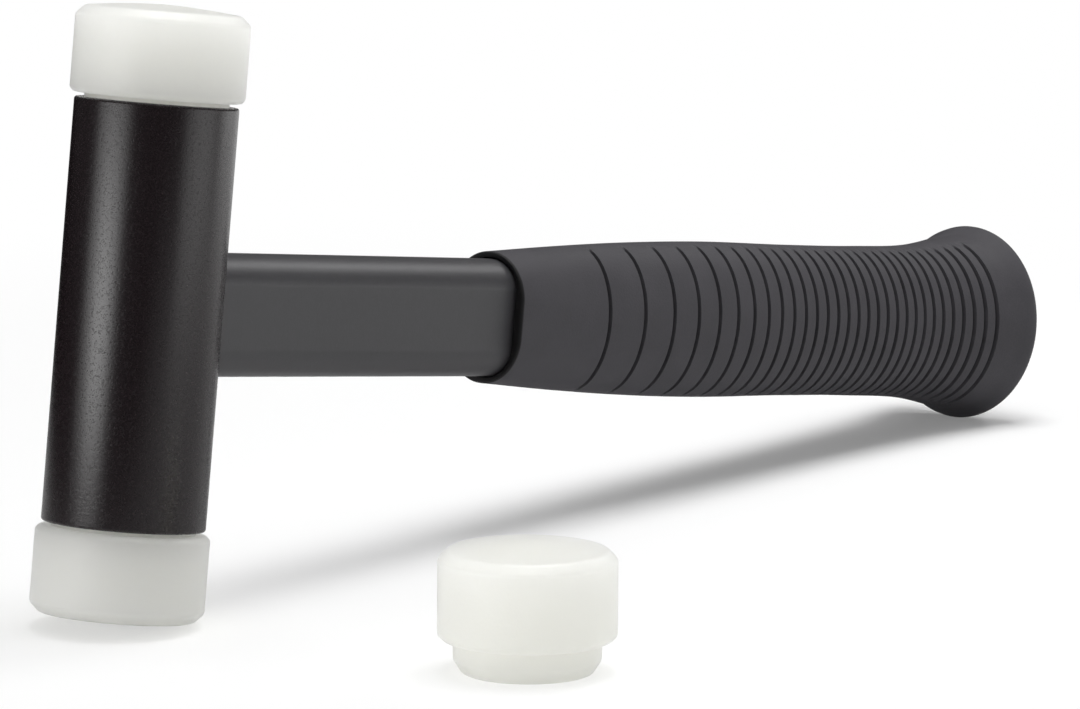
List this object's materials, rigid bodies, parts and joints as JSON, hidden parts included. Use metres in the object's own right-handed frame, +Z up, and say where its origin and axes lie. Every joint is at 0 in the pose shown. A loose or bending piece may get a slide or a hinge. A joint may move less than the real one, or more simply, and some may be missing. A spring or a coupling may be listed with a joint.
{
  "type": "dead blow hammer",
  "caption": "Dead blow hammer: steel tube head with loose shot inside, pull-out nylon face inserts, flat-oval steel handle in a grooved rubber grip, with a spare face insert.",
  "frame": {"origin": "on the floor, under the middle of the box round the hammer and its spare face insert", "axes": "+X along the floor from the head towards the grip's butt, +Z up from the floor; the hammer stands as put down, leaning on its lower face's rim and its butt"},
  "size_m": [0.2856, 0.109, 0.1064],
  "materials": {
    "black_steel": "satin black coating with a fine grain",
    "grey_steel": "satin dark grey coating",
    "dark_rubber": "matte dark grey moulded rubber",
    "white_nylon": "milky, slightly translucent white nylon",
    "plain_steel": "plain pressed sheet steel",
    "shot_steel": "smooth steel shot"
  },
  "bodies": {
    "hammer": {"head_tube": "black_steel", "handle_tube": "grey_steel", "grip": "dark_rubber", "upper_shot_plug": "plain_steel", "lower_shot_plug": "plain_steel"},
    "shot": {"shot_ball_01": "shot_steel", "shot_ball_02": "shot_steel", "shot_ball_03": "shot_steel", "shot_ball_04": "shot_steel", "shot_ball_05": "shot_steel", "shot_ball_06": "shot_steel", "shot_ball_07": "shot_steel", "shot_ball_08": "shot_steel", "shot_ball_09": "shot_steel", "shot_ball_10": "shot_steel", "shot_ball_11": "shot_steel", "shot_ball_12": "shot_steel", "shot_ball_13": "shot_steel", "shot_ball_14": "shot_steel", "shot_ball_15": "shot_steel", "shot_ball_16": "shot_steel", "shot_ball_17": "shot_steel", "shot_ball_18": "shot_steel", "shot_ball_19": "shot_steel", "shot_ball_20": "shot_steel", "shot_ball_21": "shot_steel", "shot_ball_22": "shot_steel", "shot_ball_23": "shot_steel", "shot_ball_24": "shot_steel", "shot_ball_25": "shot_steel", "shot_ball_26": "shot_steel", "shot_ball_27": "shot_steel"},
    "upper_insert": {"upper_face_insert": "white_nylon"},
    "lower_insert": {"lower_face_insert": "white_nylon"},
    "spare_insert": {"spare_face_insert": "white_nylon"}
  },
  "joints": [
    {"name": "shot_slide", "type": "slide", "parent": "hammer", "child": "shot", "axis": [0.13, 0, 0.9915], "range_m": [0, 0.024]},
    {"name": "upper_insert_pull", "type": "slide", "parent": "hammer", "child": "upper_insert", "axis": [0.13, 0, 0.9915], "range_m": [0, 0.015]},
    {"name": "lower_insert_pull", "type": "slide", "parent": "hammer", "child": "lower_insert", "axis": [-0.13, 0, -0.9915], "range_m": [0, 0.015]},
    {"name": "spare_insert_lift", "type": "slide", "parent": "hammer", "child": "spare_insert", "axis": [0, 0, 1], "range_m": [0, 0.12]}
  ]
}
